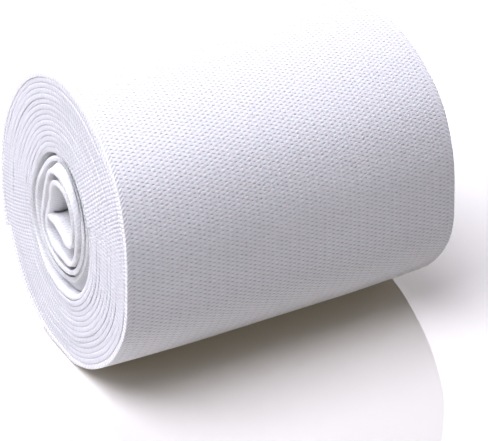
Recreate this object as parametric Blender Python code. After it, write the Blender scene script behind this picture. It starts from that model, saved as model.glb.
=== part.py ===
import math

import bmesh
import bpy
import numpy as np

# Sizes in millimetres, angles in degrees. Seen from the near end, an angle runs anticlockwise
# from +right, and the tape winds clockwise on its way in.
MM = 0.001
WIDTH = 100.0
THICKNESS = 1.35
CENTRE_HEIGHT = 39.8
TAPE_END = 206.0
TIGHT_TURNS = 14 + 116 / 360
END_LIFT = 0.9
END_LIFT_SPAN = 30.0

# Shape of the roll from the near end
CROWN = 0.018
CROWN_FROM = 22.0
NEAR_LEAN_UP = 0.072
NEAR_LEAN_SIDE = 0.021

# Steps that the outline and the loose turns are drawn with
OUTER_STEP = 5.0
CORE_STEP = 7.5
STATIONS = (-40.0, -22.0, 22.0, 40.0)

# Tape centre line of the tight turns, angle and radius: the outermost turn, then the innermost
OUTERMOST = (
    (0, 42.3),
    (18, 42.4),
    (36, 42.4),
    (54, 41.5),
    (72, 41.0),
    (90, 40.9),
    (108, 40.9),
    (126, 41.2),
    (144, 41.6),
    (162, 42.3),
    (180, 42.6),
    (198, 42.9),
    (216, 42.1),
    (234, 41.9),
    (252, 40.9),
    (270, 41.0),
    (288, 41.2),
    (306, 41.7),
    (324, 43.0),
    (342, 43.9),
)
INNERMOST = (
    (0, 18.0),
    (30, 18.0),
    (60, 18.8),
    (90, 19.9),
    (120, 19.9),
    (150, 19.2),
    (180, 20.2),
    (210, 20.9),
    (240, 21.0),
    (270, 20.5),
    (300, 20.4),
    (330, 19.4),
)

# Tape centre line of the loose turns: degrees past the top of the last tight turn, radius,
# and how far the near edge stands out of the near end
LOOSE = (
    (0, 19.9, 0.0),
    (45, 18.3, 0.0),
    (90, 17.3, 0.0),
    (135, 15.9, -0.3),
    (180, 16.1, -0.7),
    (225, 17.1, -0.3),
    (270, 16.9, 0.0),
    (315, 15.9, 1.0),
    (360, 17.2, 2.1),
    (405, 16.6, 1.9),
    (450, 14.9, 1.3),
    (495, 14.2, 0.5),
    (540, 13.1, 0.0),
    (561, 13.3, 0.0),
    (580, 14.1, 0.0),
    (597, 14.7, 0.0),
    (612, 14.1, 0.0),
    (630, 12.6, 0.0),
    (675, 11.9, 0.9),
    (720, 14.9, 2.1),
    (742, 15.3, 2.0),
    (765, 14.8, 1.9),
    (785, 13.8, 1.6),
    (810, 12.6, 1.3),
    (855, 11.9, 0.5),
    (900, 10.4, 0.0),
    (921, 10.9, 0.0),
    (940, 11.8, 0.0),
    (956, 12.1, 0.0),
    (972, 10.9, 0.0),
    (990, 9.3, 0.0),
    (1018, 8.2, 0.4),
    (1050, 9.3, 1.4),
    (1080, 12.3, 2.1),
    (1102, 13.1, 2.0),
    (1125, 12.9, 1.9),
    (1145, 11.6, 1.6),
    (1170, 9.6, 1.2),
    (1194, 8.5, 0.6),
    (1217, 6.6, 0.3),
    (1229, 5.4, 0.2),
    (1246, 4.2, 0.1),
    (1273, 3.6, 0.0),
    (1302, 4.0, 0.0),
    (1320, 4.9, 0.0),
    (1331, 6.6, 0.0),
    (1335.5, 8.7, 0.0),
)

TIGHT_LENGTH = TIGHT_TURNS * 360.0
TAPE_LENGTH = TIGHT_LENGTH + LOOSE[-1][0]
CHANNEL_START = TIGHT_LENGTH + 60.0


def smooth_through(xs, ys, x):
    """Cubic curve through the knots with the slope of their neighbours."""
    xs, ys, x = np.asarray(xs, float), np.asarray(ys, float), np.asarray(x, float)
    slopes = np.gradient(ys, xs)
    i = np.clip(np.searchsorted(xs, x, side="right") - 1, 0, len(xs) - 2)
    step = xs[i + 1] - xs[i]
    t = (x - xs[i]) / step
    return (
        (2 * t**3 - 3 * t**2 + 1) * ys[i]
        + (t**3 - 2 * t**2 + t) * step * slopes[i]
        + (3 * t**2 - 2 * t**3) * ys[i + 1]
        + (t**3 - t**2) * step * slopes[i + 1]
    )


def around(rows, angle):
    """Radius at any angle on the closed curve through the rows."""
    angles = [row[0] + turn for turn in (-360, 0, 360) for row in rows]
    return smooth_through(angles, [row[1] for row in rows] * 3, np.mod(angle, 360.0))


def tight_radius(wound):
    """Centre line radius after so many degrees of winding from the outer end."""
    share = wound / TIGHT_LENGTH
    angle = TAPE_END - wound
    return (1 - share) * around(OUTERMOST, angle) + share * around(INNERMOST, angle)


def centre_radius(wound):
    before = np.array([-90.0, -60.0, -30.0])
    knots = np.concatenate([before, [row[0] for row in LOOSE]])
    radii = np.concatenate([tight_radius(TIGHT_LENGTH + before), [row[1] for row in LOOSE]])
    wound = np.asarray(wound, float)
    loose = smooth_through(knots, radii, wound - TIGHT_LENGTH)
    return np.where(wound < TIGHT_LENGTH - 30.0, tight_radius(wound), loose)


def centre_point(wound):
    angle = np.radians(TAPE_END - wound)
    radius = centre_radius(wound)
    return np.stack([radius * np.cos(angle), radius * np.sin(angle)], -1)


def side_point(wound, side):
    """Point on the tape's outer (+1) or inner (-1) surface."""
    ahead = centre_point(wound + 0.5) - centre_point(wound - 0.5)
    ahead /= np.linalg.norm(ahead, axis=-1, keepdims=True)
    outward = np.stack([-ahead[..., 1], ahead[..., 0]], -1)
    return centre_point(wound) + side * THICKNESS / 2 * outward


def outer_outline():
    """Outside of the outermost turn, its cut end lifted, and flat where it rests."""
    wound = np.arange(0.0, 360.0 + 0.01, OUTER_STEP)
    points = side_point(wound, 1)
    lift = END_LIFT * np.clip(1 - wound / END_LIFT_SPAN, 0, 1) ** 2
    points += (points / np.linalg.norm(points, axis=1, keepdims=True)) * lift[:, None]
    points[:, 1] = np.maximum(points[:, 1], -CENTRE_HEIGHT)
    return points


def channel_outline():
    """The open spiral between the loose turns with the hollow in the middle."""
    inward = np.append(np.arange(CHANNEL_START, TAPE_LENGTH - CORE_STEP / 2, CORE_STEP), TAPE_LENGTH)
    outward = np.append(inward[::-1], np.arange(CHANNEL_START - CORE_STEP, CHANNEL_START - 360.01, -CORE_STEP))
    return np.concatenate([side_point(inward, 1), side_point(outward, -1)]), np.concatenate([inward, outward])


def filled(outlines, depth):
    """Closed outlines filled between them and given a depth, as a mesh along Z."""
    curve = bpy.data.curves.new("outlines", "CURVE")
    curve.dimensions = "2D"
    curve.fill_mode = "BOTH"
    curve.extrude = depth / 2
    for outline in outlines:
        spline = curve.splines.new("POLY")
        spline.points.add(len(outline) - 1)
        for point, (x, y) in zip(spline.points, outline):
            point.co = (x, y, 0, 1)
        spline.use_cyclic_u = True
    holder = bpy.data.objects.new("outlines", curve)
    bpy.context.scene.collection.objects.link(holder)
    bpy.context.view_layer.update()
    mesh = bpy.data.meshes.new_from_object(holder)
    bpy.data.objects.remove(holder)
    bpy.data.curves.remove(curve)
    return mesh


def stand_out(wound):
    """How far the tape's near edge stands out of the near end."""
    past = [row[0] for row in LOOSE]
    return smooth_through(past, [row[2] for row in LOOSE], np.clip(wound - TIGHT_LENGTH, 0.0, past[-1]))


def build_roll():
    outer = outer_outline()
    channel, channel_wound = channel_outline()
    mesh = filled((outer * MM, channel * MM), WIDTH * MM)
    bm = bmesh.new()
    bm.from_mesh(mesh)
    bmesh.ops.remove_doubles(bm, verts=bm.verts, dist=0.00005)
    bmesh.ops.recalc_face_normals(bm, faces=bm.faces)
    for station in STATIONS:
        parts = list(bm.verts) + list(bm.edges) + list(bm.faces)
        bmesh.ops.bisect_plane(bm, geom=parts, plane_co=(0, 0, station * MM), plane_no=(0, 0, 1))
    for vert in bm.verts:
        right, up, along = vert.co / MM
        gaps = np.hypot(channel[:, 0] - right, channel[:, 1] - up)
        nearest = int(gaps.argmin())
        push = float(stand_out(channel_wound[nearest])) if gaps[nearest] < 0.01 else 0.0
        near = WIDTH / 2 - NEAR_LEAN_UP * up + NEAR_LEAN_SIDE * right
        toward_near = (along + WIDTH / 2) / WIDTH
        crown = 1 - CROWN * (max(0.0, abs(along) - CROWN_FROM) / (WIDTH / 2 - CROWN_FROM)) ** 1.5
        x = -(toward_near * near - (1 - toward_near) * WIDTH / 2 + push)
        vert.co = (x * MM, -right * crown * MM, (CENTRE_HEIGHT + up * crown) * MM)
    if bm.calc_volume(signed=True) < 0:
        bmesh.ops.reverse_faces(bm, faces=bm.faces)
    ends = [[pick(vert.co[axis] for vert in bm.verts) for axis in (0, 1)] for pick in (min, max)]
    middle = [(low + high) / 2 for low, high in zip(*ends)]
    bmesh.ops.translate(bm, verts=bm.verts, vec=(-middle[0], -middle[1], 0))
    bm.to_mesh(mesh)
    bm.free()
    mesh.name = "roll"
    return bpy.data.objects.new("roll", mesh)


for old in list(bpy.data.objects):
    bpy.data.objects.remove(old)

knit = bpy.data.materials.new("knit_elastic")
knit.use_nodes = True
shader = knit.node_tree.nodes["Principled BSDF"]
shader.inputs["Base Color"].default_value = (0.86, 0.86, 0.88, 1)
shader.inputs["Roughness"].default_value = 0.85
shader.inputs["Metallic"].default_value = 0.0

parts = bpy.data.collections.new("elastic_roll")
bpy.context.scene.collection.children.link(parts)
roll = build_roll()
roll.data.materials.clear()
roll.data.materials.append(knit)
parts.objects.link(roll)
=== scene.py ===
import math

import bmesh
import bpy
import numpy as np
from mathutils import Matrix, Vector


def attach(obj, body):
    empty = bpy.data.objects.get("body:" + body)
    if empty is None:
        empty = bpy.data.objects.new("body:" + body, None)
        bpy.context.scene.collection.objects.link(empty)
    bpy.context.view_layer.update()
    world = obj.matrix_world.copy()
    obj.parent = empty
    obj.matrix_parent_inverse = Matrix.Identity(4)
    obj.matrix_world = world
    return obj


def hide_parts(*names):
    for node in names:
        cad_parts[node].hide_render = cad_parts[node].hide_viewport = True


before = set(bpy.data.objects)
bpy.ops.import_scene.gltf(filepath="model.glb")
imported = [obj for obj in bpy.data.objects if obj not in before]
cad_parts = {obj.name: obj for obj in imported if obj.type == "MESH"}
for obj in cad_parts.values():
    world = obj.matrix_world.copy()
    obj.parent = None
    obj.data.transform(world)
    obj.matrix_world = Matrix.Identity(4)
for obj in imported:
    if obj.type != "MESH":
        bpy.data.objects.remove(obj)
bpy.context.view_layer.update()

mm = 0.001

# Lengths in the settings are millimetres, angles are degrees. Seen from the near end of the roll, angles
# run anticlockwise from the right, and the tape winds clockwise on its way in. "wound" is how many degrees
# the tape has turned since its outer end, "past" how many since the tight turns ended, at the top.

rollSettings = {
    "width": 100.0,
    "centreHeight": 39.8,
    "shiftX": 1.18,             # brings the roll's box over the origin
    "shiftY": -0.47,
    "tapeEnd": 206.0,           # low on the side turned away from the camera
    "tightTurns": 14 + 116 / 360,
    "endLift": 0.9,
    "endLiftSpan": 30.0,
    "crown": 0.018,             # how much the roll narrows towards its ends
    "crownFrom": 22.0,
    "crownCurve": 1.5,
    "nearLeanUp": 0.072,
    "nearLeanSide": 0.021,
    "leanDepth": 3.0,           # the loose turns lean over this much of each end
    "layer": 1.45,              # room that a loose turn needs between its neighbours
    "restFrom": 39.1,           # centre line of the outermost turn over the floor
    "restPitch": 1.36,
    "restStart": 296.0,         # the first turn is at the bottom here
    "restTurns": 10,            # the turns further in are round underneath
    "restFacing": 0.6,          # a turn is pressed where it faces the floor at least as squarely as this
    "restSoft": 0.12,
}

# centre line of the tight turns, angle and radius: the outermost turn, then the innermost
outermostTurn = (
    (0, 42.3), (18, 42.4), (36, 42.4), (54, 41.5), (72, 41.0), (90, 40.9), (108, 40.9), (126, 41.2),
    (144, 41.6), (162, 42.3), (180, 42.6), (198, 42.9), (216, 42.1), (234, 41.9), (252, 40.9),
    (270, 41.0), (288, 41.2), (306, 41.7), (324, 43.0), (342, 43.9),
)
innermostTurn = (
    (0, 18.0), (30, 18.0), (60, 18.8), (90, 19.9), (120, 19.9), (150, 19.2), (180, 20.2), (210, 20.9),
    (240, 21.0), (270, 20.5), (300, 20.4), (330, 19.4),
)

# centre line of the loose turns: degrees past the tight turns, radius, and how far the near edge stands
# out of the near end
looseTurns = (
    (0, 19.8, 0.0), (45, 17.7, 0.0), (90, 16.6, 0.0), (135, 16.2, -0.3), (180, 16.4, -0.7),
    (225, 17.5, -0.3), (270, 17.4, 0.0), (315, 16.3, 0.2), (340, 17.5, 0.2), (360, 18.2, 0.2),
    (405, 16.7, 0.3), (450, 15.1, 0.3), (495, 14.5, 0.1), (540, 13.3, 0.0), (561, 13.4, 0.0),
    (580, 14.1, 0.0), (597, 14.7, 0.0), (612, 14.1, 0.0), (630, 12.6, 0.0), (675, 11.9, 0.9),
    (720, 15.5, 2.1), (742, 15.6, 2.0), (765, 14.8, 1.9), (785, 13.8, 1.6), (810, 12.7, 1.3),
    (855, 12.2, 0.5), (900, 10.4, 0.0), (921, 10.9, 0.0), (940, 11.8, 0.0), (956, 12.1, 0.0),
    (972, 10.9, 0.0), (990, 9.3, 0.0), (1018, 8.2, 0.4), (1050, 9.3, 1.4), (1080, 12.3, 2.1),
    (1102, 13.1, 2.0), (1125, 12.9, 1.9), (1145, 11.6, 1.6), (1170, 9.6, 1.2), (1194, 8.5, 0.6),
    (1217, 6.6, 0.3), (1229, 5.4, 0.2), (1246, 4.2, 0.1), (1273, 3.6, 0.0), (1302, 4.0, 0.0),
    (1320, 4.9, 0.0), (1331, 6.6, 0.0), (1335.5, 8.7, 0.0),
)

tightDegrees = rollSettings["tightTurns"] * 360.0
allDegrees = tightDegrees + looseTurns[-1][0]


def smoothThrough(xs, ys, x):
    # cubic curve through the knots, with the slope of their neighbours
    xs, ys, x = np.asarray(xs, float), np.asarray(ys, float), np.asarray(x, float)
    slopes = np.gradient(ys, xs)
    i = np.clip(np.searchsorted(xs, x, side="right") - 1, 0, len(xs) - 2)
    step = xs[i + 1] - xs[i]
    t = (x - xs[i]) / step
    return (
        (2 * t**3 - 3 * t**2 + 1) * ys[i]
        + (t**3 - 2 * t**2 + t) * step * slopes[i]
        + (3 * t**2 - 2 * t**3) * ys[i + 1]
        + (t**3 - t**2) * step * slopes[i + 1]
    )


def aroundRoll(rows, angle):
    angles = [row[0] + turn for turn in (-360, 0, 360) for row in rows]
    return smoothThrough(angles, [row[1] for row in rows] * 3, np.mod(angle, 360.0))


def tightRadius(wound):
    share = wound / tightDegrees
    angle = rollSettings["tapeEnd"] - wound
    return (1 - share) * aroundRoll(outermostTurn, angle) + share * aroundRoll(innermostTurn, angle)


def centreRadius(wound):
    # the curve of the loose turns starts from the last quarter turn of the tight ones
    before = np.array([-90.0, -60.0, -30.0])
    knots = np.concatenate([before, [row[0] for row in looseTurns]])
    radii = np.concatenate([tightRadius(tightDegrees + before), [row[1] for row in looseTurns]])
    loose = smoothThrough(knots, radii, wound - tightDegrees)
    radius = np.where(wound < tightDegrees + before[-1], tightRadius(wound), loose)
    # pressed flat over the floor, less and less towards the middle
    down = -np.sin(np.radians(rollSettings["tapeEnd"] - wound))
    squarely = rollSettings["restFacing"]
    turnsIn = np.maximum(wound - rollSettings["restStart"], 0.0) / 360.0
    pressed = (rollSettings["restFrom"] - rollSettings["restPitch"] * turnsIn) / np.maximum(down, squarely)
    rounding = np.sqrt((radius - pressed) ** 2 + rollSettings["restSoft"] ** 2)
    pressedRadius = 0.5 * (radius + pressed - rounding)
    resting = (down > squarely) & (wound < rollSettings["restTurns"] * 360.0)
    return np.where(resting, pressedRadius, radius)


def tapeFrame(wound):
    # middle of the tape's thickness and the direction out of the roll
    def point(w):
        angle = np.radians(rollSettings["tapeEnd"] - w)
        radius = centreRadius(w)
        lift = np.clip(1 - w / rollSettings["endLiftSpan"], 0, 1) ** 2 * rollSettings["endLift"]
        return np.stack([(radius + lift) * np.cos(angle), (radius + lift) * np.sin(angle)], -1)

    nudge = 0.4
    ahead = point(wound + nudge) - point(wound - nudge)
    ahead /= np.linalg.norm(ahead, axis=-1, keepdims=True)
    return point(wound), np.stack([-ahead[..., 1], ahead[..., 0]], -1)


# the whole winding in fine steps, from a little before the tape's outer end
fineStep = 0.1
fineWound = np.arange(-2.0, allDegrees + fineStep / 2, fineStep)
finePoints, _ = tapeFrame(fineWound)
fineLength = np.concatenate([[0.0], np.cumsum(np.hypot(*np.diff(finePoints, axis=0).T))])
fineLength -= np.interp(0.0, fineWound, fineLength)


def lengthAt(wound):
    return float(np.interp(wound, fineWound, fineLength))


def woundAt(length):
    return np.interp(length, fineLength, fineWound)


# how far out the loose turns lean at most, once leanDepth in from the ends: degrees past the tight turns,
# then millimetres. Below 0 they lean in
mostLean = (
    (0, 3.9), (200, 3.9), (300, 3.2), (420, 1.6), (690, 1.4), (860, 1.0), (920, 0.0), (975, -1.2),
    (1045, -1.2), (1100, 0.0),
)

# where they lean in against the next turn, on the left of the middle, and the share of the gap between
# them that this closes
inwardLean = (
    (-140, 0.0), (-100, 0.8), (-45, 0.8), (-10, 0.0),
    (235, 0.0), (265, 0.7), (320, 0.7), (355, 0.0),
    (585, 0.0), (620, 0.7), (675, 0.7), (710, 0.0),
)


def leaning():
    # each loose turn leans out against the turn round it, or in against the turn inside it
    radius = centreRadius(fineWound)
    lean = np.zeros_like(radius)
    oneTurnOn = int(round(360.0 / fineStep))
    past = fineWound - tightDegrees
    most = np.interp(past, *zip(*mostLean))
    inward = np.interp(past, *zip(*inwardLean))
    for i in np.nonzero(past > 0)[0]:
        gapOutside = max(radius[i - oneTurnOn] - radius[i] - rollSettings["layer"], 0.0)
        lean[i] = min(lean[i - oneTurnOn] + gapOutside, most[i])
    for i in np.nonzero(inward > 0)[0][::-1]:
        gapInside = max(radius[i] - radius[i + oneTurnOn] - rollSettings["layer"], 0.0)
        lean[i] = (1 - inward[i]) * lean[i] - inward[i] * max(gapInside - lean[i + oneTurnOn], 0.0)
    return lean


fineLean = leaning()


def standOut(wound):
    past = [row[0] for row in looseTurns]
    return smoothThrough(past, [row[2] for row in looseTurns], np.clip(wound - tightDegrees, 0.0, past[-1]))


# how far each turn sits in or out of line with its neighbours, in waves: rise, reach, start
layerWaves = ((0.07, 31.0, 0.6), (0.05, 13.7, 2.1), (0.03, 6.1, 4.0), (0.02, 2.9, 0.0))


def layerWander(length):
    return sum(rise * np.sin(length / reach + start) for rise, reach, start in layerWaves)


def placeTape(length, wound, across, out):
    # length, wound: one for each section; across, out: one row for each section. Gives metres.
    width = rollSettings["width"]
    centre, outward = tapeFrame(wound)
    depth = np.clip(np.minimum(across, width - across) / rollSettings["leanDepth"], 0, 1)
    out = out + np.interp(wound, fineWound, fineLean)[:, None] * depth**2 * (3 - 2 * depth)
    right = centre[:, None, 0] + out * outward[:, None, 0]
    up = centre[:, None, 1] + out * outward[:, None, 1]
    along = width / 2 - across
    crownFrom = rollSettings["crownFrom"]
    crowned = np.clip(np.abs(along) - crownFrom, 0, None) / (width / 2 - crownFrom)
    crown = 1 - rollSettings["crown"] * crowned ** rollSettings["crownCurve"]
    near = width / 2 - rollSettings["nearLeanUp"] * up + rollSettings["nearLeanSide"] * right
    towardNear = along / width + 0.5
    push = (standOut(wound) + layerWander(length))[:, None]
    x = -(towardNear * near - (1 - towardNear) * width / 2 + push)
    y = -right * crown
    z = rollSettings["centreHeight"] + up * crown
    return np.stack([
        (x + rollSettings["shiftX"]) * mm,
        (y + rollSettings["shiftY"]) * mm,
        np.maximum(z, 0.0) * mm,
    ], -1)


# the tape's edge: how far in from the end of the width, and how much of the half thickness is left there
edgeShape = ((0.0, 0.0), (0.0, 0.76), (0.045, 0.94), (0.13, 0.99), (0.45, 1.0))


def edgeLoop(settings):
    # one section of the tape: (across, out as a share of half the thickness), all the way round
    width = rollSettings["width"]
    nearUp = [(across, -out) for across, out in edgeShape[:0:-1]] + list(edgeShape)
    farDown = [(width - across, -out) for across, out in nearUp]
    outer = [(across, 1.0) for across in settings["outerAt"]]
    inner = [(across, -1.0) for across in settings["innerAt"][::-1]]
    return np.array(nearUp + outer + farDown + inner)


knitSettings = {
    "wale": 1.33,
    "selvedge": 0.7,            # how far in from the edge the beads are felt
    "beadBand": 0.3,
    "edgeStroke": 1.6,          # how far across the strokes of the first wale lean in one course
    "relief": 0.3,
    "shift": 0.6,               # how far the stitches wander along the tape
    "shiftNoise": (600.0, 1.0),     # scale and detail
    "toneNoise": (700.0, 2.0),
}


def knitRelief(length, across, share, settings):
    # the section's points moved by the beads of the selvedge and the knit's rows and ribs
    thickness = settings["thickness"](woundAt(length))[:, None]
    out = share * thickness / 2
    fromEdge = np.minimum(across, rollSettings["width"] - across)
    edge = np.exp(-(fromEdge / knitSettings["selvedge"]) ** 2)
    beadRise = np.cos(2 * math.pi * length / settings["bead"])[:, None]
    outwardAcross = np.sign(across - rollSettings["width"] / 2)
    across = across + outwardAcross * edge * settings["beadOut"] * beadRise
    out = out * (1 + edge * settings["beadThick"] * beadRise)
    wale = across / knitSettings["wale"]
    course = length[:, None] / settings["course"]
    stagger = np.cos(2 * math.pi * course + math.pi * np.floor(wale))
    rib = np.cos(2 * math.pi * (wale - 0.5))
    knit = settings["knitRise"] * (0.5 * rib + 0.5 * stagger * (0.5 + 0.5 * rib)) * (1 - edge)
    onFace = np.abs(share) > 0.99
    return across, out + np.sign(share) * np.where(onFace, knit, 0.0)


def stripFaces(count, around):
    # quads between neighbouring sections, and a cap over each end
    start = np.arange(count - 1)[:, None] * around
    here = np.arange(around)[None, :]
    there = (here + 1) % around
    quads = np.stack([start + here, start + there, start + around + there, start + around + here], -1)
    faces = quads.reshape(-1, 4).tolist()
    faces.append(list(range(around))[::-1])
    faces.append(list(range((count - 1) * around, count * around)))
    return faces


def makeTape(name, fromLength, toLength, settings):
    count = int(round((toLength - fromLength) / settings["bead"] * settings["perBead"])) + 1
    length = np.linspace(fromLength, toLength, count)
    loop = edgeLoop(settings)
    across = np.repeat(loop[None, :, 0], count, 0)
    share = np.repeat(loop[None, :, 1], count, 0)
    across, out = knitRelief(length, across, share, settings)
    places = placeTape(length, woundAt(length), across, out).reshape(-1, 3)
    mesh = bpy.data.meshes.new(name)
    mesh.from_pydata(places.tolist(), [], stripFaces(count, len(loop)))
    # metres along and across the tape; the edge counts on past the end of the width
    tapeUv = mesh.uv_layers.new(name="tape")
    alongUv = np.repeat(length, len(loop))
    acrossUv = across.reshape(-1)
    corner = np.empty(len(mesh.loops), dtype=np.int32)
    mesh.loops.foreach_get("vertex_index", corner)
    uv = np.stack([alongUv[corner] * mm, acrossUv[corner] * mm], -1)
    tapeUv.data.foreach_set("uv", uv.astype(np.float32).reshape(-1))
    mesh.update()
    piece = bpy.data.objects.new(name, mesh)
    bpy.context.scene.collection.objects.link(piece)
    mesh.shade_smooth()
    return piece


def finishTape(piece, material):
    bm = bmesh.new()
    bm.from_mesh(piece.data)
    if bm.calc_volume(signed=True) < 0:
        bmesh.ops.reverse_faces(bm, faces=bm.faces)
    bm.to_mesh(piece.data)
    bm.free()
    piece.data.materials.append(material)
    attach(piece, "root")
    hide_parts("roll")
    triangles = sum(len(face.vertices) - 2 for face in piece.data.polygons)
    print("made", piece.name, triangles, "triangles")


def spread(first, last, step):
    return list(np.linspace(first, last, int(round((last - first) / step)) + 1))


def tightThickness(wound):
    # the tight turns just don't touch, and none is thicker than the tape
    angle = rollSettings["tapeEnd"] - wound
    winding = aroundRoll(outermostTurn, angle) - aroundRoll(innermostTurn, angle)
    return np.minimum(0.99 * winding / rollSettings["tightTurns"], 1.52)


def looseThickness(wound):
    return np.interp(wound - tightDegrees, (-30, 30), (1.49, 1.42))


# one tape in three settings: the tight turns' yarn is darker and the loose turns' lighter than the outer
# turn's, as painted shade on the near end and painted light in the core
outerTape = {
    "bead": 1.17, "perBead": 2, "course": 1.17,
    "beadOut": 0.05, "beadThick": 0.03, "knitRise": 0.04,
    "outerAt": spread(1.1, 98.9, 0.665), "innerAt": spread(6.0, 94.0, 8.0),
    "thickness": tightThickness,
    "lightReach": 0.25, "bump": 0.42,
    "yarnColourAndPaintedLight": (0.88, 0.88, 0.892, 1),
    # painted highlight on the stitches
    "stitchHighlightColour": (0.995, 0.995, 0.995, 1),
    # painted shade in the knit's holes
    "holeShadeColour": (0.60, 0.60, 0.62, 1),
}
tightTape = {
    "bead": 1.08, "perBead": 4, "course": 1.08,
    "beadOut": 0.07, "beadThick": 0.04, "knitRise": 0.0,
    "outerAt": [], "innerAt": [],
    "thickness": tightThickness,
    "lightReach": 0.6, "bump": 0.2,
    # painted shade: yarn darker than the outer turn's, so the near end reads less lit
    "yarnColourAndPaintedLight": (0.75, 0.75, 0.775, 1),
    # painted highlight on the stitches and the beads of the edges
    "stitchHighlightColour": (0.80, 0.80, 0.82, 1),
    # painted shade in the holes and between the beads of the edges
    "holeShadeColour": (0.65, 0.65, 0.675, 1),
}
shownEnds = spread(1.2, 14.0, 0.665) + spread(18.0, 82.0, 8.0) + spread(86.0, 98.8, 0.665)
looseTape = {
    "startsBefore": 290.0,      # where it joins the tight turns, out of sight on the right
    "bead": 1.08, "perBead": 2, "course": 1.08,
    "beadOut": 0.12, "beadThick": 0.06, "knitRise": 0.05,
    "outerAt": shownEnds, "innerAt": shownEnds,
    "thickness": looseThickness,
    "lightReach": 3.6, "bump": 0.4,
    # painted light: yarn lighter than the outer turn's, lifting the shade in the core
    "yarnColourAndPaintedLight": (0.91, 0.91, 0.92, 1),
    # painted highlight on the stitches
    "stitchHighlightColour": (0.94, 0.94, 0.945, 1),
    # painted shade in the holes
    "holeShadeColour": (0.78, 0.78, 0.80, 1),
}


# the knit of the tape, as materials
def newNode(tree, kind, **values):
    made = tree.nodes.new(kind)
    for key, value in values.items():
        setattr(made, key, value)
    return made


def calculate(tree, operation, first, second=None, third=None):
    made = newNode(tree, "ShaderNodeMath", operation=operation)
    for socket, value in zip(made.inputs, (first, second, third)):
        if isinstance(value, (int, float)):
            socket.default_value = value
        elif value is not None:
            tree.links.new(value, socket)
    return made.outputs[0]


def noiseOver(tree, places, scale, detail):
    noise = newNode(tree, "ShaderNodeTexNoise")
    noise.inputs["Scale"].default_value = scale
    noise.inputs["Detail"].default_value = detail
    tree.links.new(places, noise.inputs["Vector"])
    return noise.outputs[0]


def newGroup(name, inputs, outputs):
    tree = bpy.data.node_groups.new(name, "ShaderNodeTree")
    for socket in inputs:
        tree.interface.new_socket(socket, in_out="INPUT", socket_type="NodeSocketFloat")
    for socket in outputs:
        tree.interface.new_socket(socket, in_out="OUTPUT", socket_type="NodeSocketFloat")
    return tree, newNode(tree, "NodeGroupInput").outputs, newNode(tree, "NodeGroupOutput").inputs


# one stitch, in shares of a course along the tape and of a wale across it
stitchSettings = {
    "holeSlant": -0.05,
    "holeReach": (0.14, 0.37),
    "holeInEven": 0.85,         # the holes of the even wales beside those of the odd
    "stitchSlant": 0.15,
    "stitchReach": (0.3, 0.46),
    "stitchInOdd": 0.4,
    "strokeGap": 0.35,
    "beadGap": 0.45,
    "beadSharpness": 3.0,
}


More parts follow.
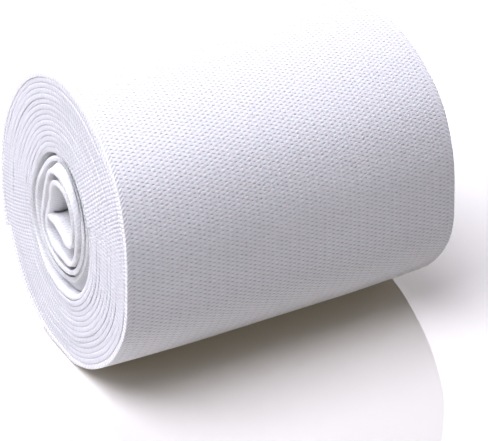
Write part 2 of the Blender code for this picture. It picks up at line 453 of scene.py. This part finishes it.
def stitchGroup():
    # one stitch to a wale and course, every second wale half a course on; all in metres
    tree, given, told = newGroup("knitted stitches", ("Along", "Across", "Course", "Bead"),
                                 ("HoleShade", "StitchHighlight", "Height"))

    def calc(operation, *values):
        return calculate(tree, operation, *values)

    def fromMiddle(value):
        return calc("SUBTRACT", calc("FRACT", value), 0.5)

    def squared(distance, reach):
        return calc("POWER", calc("DIVIDE", distance, reach), 2.0)

    def spot(along, across, reach):
        # 1 in the middle of a spot, 0 from its reach on
        left = calc("SUBTRACT", 1.0, squared(along, reach[0]))
        return calc("MAXIMUM", calc("SUBTRACT", left, squared(across, reach[1])), 0.0)

    def choose(mask, inside, outside):
        return calc("MULTIPLY_ADD", mask, calc("SUBTRACT", inside, outside), outside)

    across = given["Across"]
    fromEdge = calc("MINIMUM", across, calc("SUBTRACT", rollSettings["width"] * mm, across))
    wale = calc("DIVIDE", across, knitSettings["wale"] * mm)
    course = calc("DIVIDE", given["Along"], given["Course"])
    odd = calc("FLOORED_MODULO", calc("FLOOR", wale), 2.0)
    slid = calc("ADD", course, calc("MULTIPLY", odd, 0.5))
    cellAcross = fromMiddle(wale)
    slantedHole = calc("MULTIPLY_ADD", cellAcross, stitchSettings["holeSlant"], fromMiddle(slid))
    hole = calc("SQRT", spot(slantedHole, cellAcross, stitchSettings["holeReach"]))
    inEven = stitchSettings["holeInEven"]
    hole = calc("MULTIPLY", hole, calc("MULTIPLY_ADD", odd, 1.0 - inEven, inEven))
    between = fromMiddle(calc("ADD", slid, 0.5))
    slantedStitch = calc("MULTIPLY_ADD", cellAcross, stitchSettings["stitchSlant"], between)
    stitch = spot(slantedStitch, cellAcross, stitchSettings["stitchReach"])
    stitch = calc("MULTIPLY", stitch, calc("MULTIPLY_ADD", odd, stitchSettings["stitchInOdd"] - 1.0, 1.0))
    # the first wale by each edge is a row of slanting stitches
    stroke = calc("ADD", course, calc("DIVIDE", fromEdge, knitSettings["edgeStroke"] * mm))
    stroke = calc("COSINE", calc("MULTIPLY", stroke, 2 * math.pi))
    inFirst = calc("LESS_THAN", fromEdge, knitSettings["wale"] * mm)
    strokeGap = calc("MAXIMUM", calc("MULTIPLY", stroke, -1.0), 0.0)
    strokeGap = calc("MULTIPLY", strokeGap, stitchSettings["strokeGap"])
    stroke = calc("MAXIMUM", stroke, 0.0)
    # and the very edge a row of beads
    beads = calc("COSINE", calc("MULTIPLY", calc("DIVIDE", given["Along"], given["Bead"]), 2 * math.pi))
    onEdge = calc("LESS_THAN", fromEdge, knitSettings["beadBand"] * mm)
    beadGap = calc("POWER", calc("MULTIPLY_ADD", beads, -0.5, 0.5), stitchSettings["beadSharpness"])
    beadGap = calc("MULTIPLY", beadGap, stitchSettings["beadGap"])

    # the hole mask is painted shade in the knit's holes, between the first wale's strokes and between the
    # edge's beads, and a dip in the bump height
    hole = choose(onEdge, beadGap, choose(inFirst, strokeGap, hole))
    # the stitch mask is a painted highlight on the stitches, strokes and beads, and a rise in the bump
    # height
    stitch = choose(onEdge, calc("SUBTRACT", 1.0, beadGap), choose(inFirst, stroke, stitch))
    tree.links.new(hole, told["HoleShade"])
    tree.links.new(stitch, told["StitchHighlight"])
    tree.links.new(calc("SUBTRACT", calc("MULTIPLY", stitch, 0.5), hole), told["Height"])
    return tree


yarnFinish = {
    "Roughness": 0.8,
    "Specular IOR Level": 0.3,
    "Sheen Weight": 0.1,
    "Sheen Roughness": 0.5,
    "Subsurface Weight": 1.0,
    "Subsurface Radius": (1.0, 0.95, 0.95),
}
unevenTone = {"From Min": 0.3, "From Max": 0.7, "To Min": 0.6, "To Max": 1.3}


def knitMaterial(name, stitches, settings):
    material = bpy.data.materials.new(name)
    material.use_nodes = True
    tree = material.node_tree
    shader = tree.nodes["Principled BSDF"]
    for socket, value in yarnFinish.items():
        shader.inputs[socket].default_value = value
    shader.inputs["Subsurface Scale"].default_value = settings["lightReach"] * mm
    uv = newNode(tree, "ShaderNodeUVMap", uv_map="tape").outputs[0]
    parts = newNode(tree, "ShaderNodeSeparateXYZ")
    tree.links.new(uv, parts.inputs[0])
    knit = newNode(tree, "ShaderNodeGroup", node_tree=stitches)
    knit.inputs["Course"].default_value = settings["course"] * mm
    knit.inputs["Bead"].default_value = settings["bead"] * mm
    tree.links.new(parts.outputs[1], knit.inputs["Across"])
    # no two stitches sit quite alike, and the yarn never lies quite even
    shift = calculate(tree, "SUBTRACT", noiseOver(tree, uv, *knitSettings["shiftNoise"]), 0.5)
    along = calculate(tree, "MULTIPLY_ADD", shift, knitSettings["shift"] * mm, parts.outputs[0])
    tree.links.new(along, knit.inputs["Along"])
    tone = newNode(tree, "ShaderNodeMapRange")
    for socket, value in unevenTone.items():
        tone.inputs[socket].default_value = value
    tree.links.new(noiseOver(tree, uv, *knitSettings["toneNoise"]), tone.inputs["Value"])
    # painted shade in the holes, its strength varying at random from stitch to stitch
    paintedHoleShade = calculate(tree, "MULTIPLY", knit.outputs["HoleShade"], tone.outputs[0])
    # inputs 6 and 7 are the mix's two colours
    # the yarn colour, then a painted highlight on the stitches, then painted shade in the holes
    colour = None
    for amount, tint in ((knit.outputs["StitchHighlight"], "stitchHighlightColour"), (paintedHoleShade, "holeShadeColour")):
        mix = newNode(tree, "ShaderNodeMix", data_type="RGBA")
        mix.inputs[6].default_value = settings["yarnColourAndPaintedLight"]
        mix.inputs[7].default_value = settings[tint]
        if colour is not None:
            tree.links.new(colour, mix.inputs[6])
        tree.links.new(amount, mix.inputs[0])
        colour = mix.outputs[2]
    tree.links.new(colour, shader.inputs["Base Color"])
    relief = newNode(tree, "ShaderNodeBump")
    relief.inputs["Strength"].default_value = settings["bump"]
    relief.inputs["Distance"].default_value = knitSettings["relief"] * mm
    height = calculate(tree, "MULTIPLY", knit.outputs["Height"], tone.outputs[0])
    tree.links.new(height, relief.inputs["Height"])
    tree.links.new(relief.outputs[0], shader.inputs["Normal"])
    return material


# the photograph's angle
cameraSettings = {
    "place": (-221.33, -405.58, 277.16),
    "lookAt": (7.83, -0.47, 24.30),
    "roll": -0.8,
    "lens": 136.48,
    "sensor": 36.0,
    "clipFrom": 10.0,
}


def facing(place, aim):
    # stands at the place and looks at the aim
    place, aim = Vector(place) * mm, Vector(aim) * mm
    return Matrix.Translation(place) @ (aim - place).to_track_quat("-Z", "Y").to_matrix().to_4x4()


def makeCamera():
    data = bpy.data.cameras.new("camera")
    data.lens = cameraSettings["lens"]
    data.sensor_width = cameraSettings["sensor"]
    data.clip_start = cameraSettings["clipFrom"] * mm
    camera = bpy.data.objects.new("camera", data)
    bpy.context.scene.collection.objects.link(camera)
    roll = Matrix.Rotation(math.radians(cameraSettings["roll"]), 4, "Z")
    camera.matrix_world = facing(cameraSettings["place"], cameraSettings["lookAt"]) @ roll
    bpy.context.scene.camera = camera


studioSettings = {
    "floorSize": 30000.0,
    "floorColour": (0.75, 0.745, 0.73, 1),
    "floorPaintedGlow": (0.092, 0.081, 0.063, 1),      # painted glow: the table gives off a little warm light of its own, lifting and warming the shadow under the roll
    "floorRoughness": 0.045,
    "floorIor": 2.2,
    "worldColour": (0.98, 0.98, 1.04, 1),
    "worldGlow": 0.075,
    "gamma": 0.655,
}

# watts are per square metre of lamp; a lamp may light surfaces, show in their gloss, or both
lampSettings = {
    "softbox": {
        "place": (-600, -45, 1310), "aim": (0, 0, 30), "size": (1480, 1180),
        "watts": 18.6, "colour": (0.975, 0.965, 1.05), "lights": True, "inGloss": True,
    },
    "fill": {
        "place": (1500, 350, 420), "aim": (0, 0, 40), "size": (1100, 700),
        "watts": 3.6, "colour": (1.0, 0.98, 1.0), "lights": True, "inGloss": False,
    },
    "backdrop": {
        "place": (900, 1500, 1200), "aim": (0, 0, 0), "size": (2600, 2200),
        "watts": 5.8, "colour": (0.98, 0.97, 1.05), "lights": False, "inGloss": True,
    },
}


def makeFloor():
    bpy.ops.object.select_all(action="DESELECT")
    bpy.ops.mesh.primitive_plane_add(size=studioSettings["floorSize"] * mm, location=(0, 0, 0))
    floor = bpy.context.object
    floor.name = "floor"
    material = bpy.data.materials.new("glossy white table")
    material.use_nodes = True
    shader = material.node_tree.nodes["Principled BSDF"]
    shader.inputs["Base Color"].default_value = studioSettings["floorColour"]
    # painted glow: the floor gives off a little warm light, which lightens the shadow under the roll
    shader.inputs["Emission Color"].default_value = studioSettings["floorPaintedGlow"]
    shader.inputs["Emission Strength"].default_value = 1.0
    shader.inputs["Roughness"].default_value = studioSettings["floorRoughness"]
    shader.inputs["IOR"].default_value = studioSettings["floorIor"]
    floor.data.materials.append(material)


def makeLamp(name, settings):
    data = bpy.data.lights.new(name, "AREA")
    data.shape = "RECTANGLE"
    data.size = settings["size"][0] * mm
    data.size_y = settings["size"][1] * mm
    data.energy = settings["watts"] * data.size * data.size_y
    data.color = settings["colour"]
    lamp = bpy.data.objects.new(name, data)
    lamp.visible_camera = False
    lamp.visible_diffuse = settings["lights"]
    lamp.visible_glossy = settings["inGloss"]
    bpy.context.scene.collection.objects.link(lamp)
    lamp.matrix_world = facing(settings["place"], settings["aim"])


def makeWorld():
    scene = bpy.context.scene
    world = bpy.data.worlds.new("studio")
    world.use_nodes = True
    background = world.node_tree.nodes["Background"]
    background.inputs["Color"].default_value = studioSettings["worldColour"]
    background.inputs["Strength"].default_value = studioSettings["worldGlow"]
    scene.world = world
    scene.view_settings.view_transform = "Standard"
    scene.view_settings.gamma = studioSettings["gamma"]


makeCamera()
makeFloor()
for lampName, settings in lampSettings.items():
    makeLamp(lampName, settings)
makeWorld()
print("camera and studio ready")

stitches = stitchGroup()
outerKnit = knitMaterial("knit of the outer turn", stitches, outerTape)
tightKnit = knitMaterial("knit of the tight turns", stitches, tightTape)
looseKnit = knitMaterial("knit of the loose turns", stitches, looseTape)
print("knit materials ready")

# one tape, in four lengths that meet inside the winding
oneTurn = lengthAt(360.0)
looseFrom = lengthAt(tightDegrees - looseTape["startsBefore"])
halfWay = 0.5 * (oneTurn + looseFrom)
tapeLength = lengthAt(allDegrees)
for name, fromLength, toLength, settings, knit in (
    ("tape_outer_turn", 0.0, oneTurn, outerTape, outerKnit),
    ("tape_tight_turns_outside", oneTurn, halfWay, tightTape, tightKnit),
    ("tape_tight_turns_inside", halfWay, looseFrom, tightTape, tightKnit),
    ("tape_loose_turns", looseFrom, tapeLength, looseTape, looseKnit),
):
    piece = makeTape(name, fromLength, toLength, settings)
    finishTape(piece, knit)
print("tape wound,", round(tapeLength), "mm long")
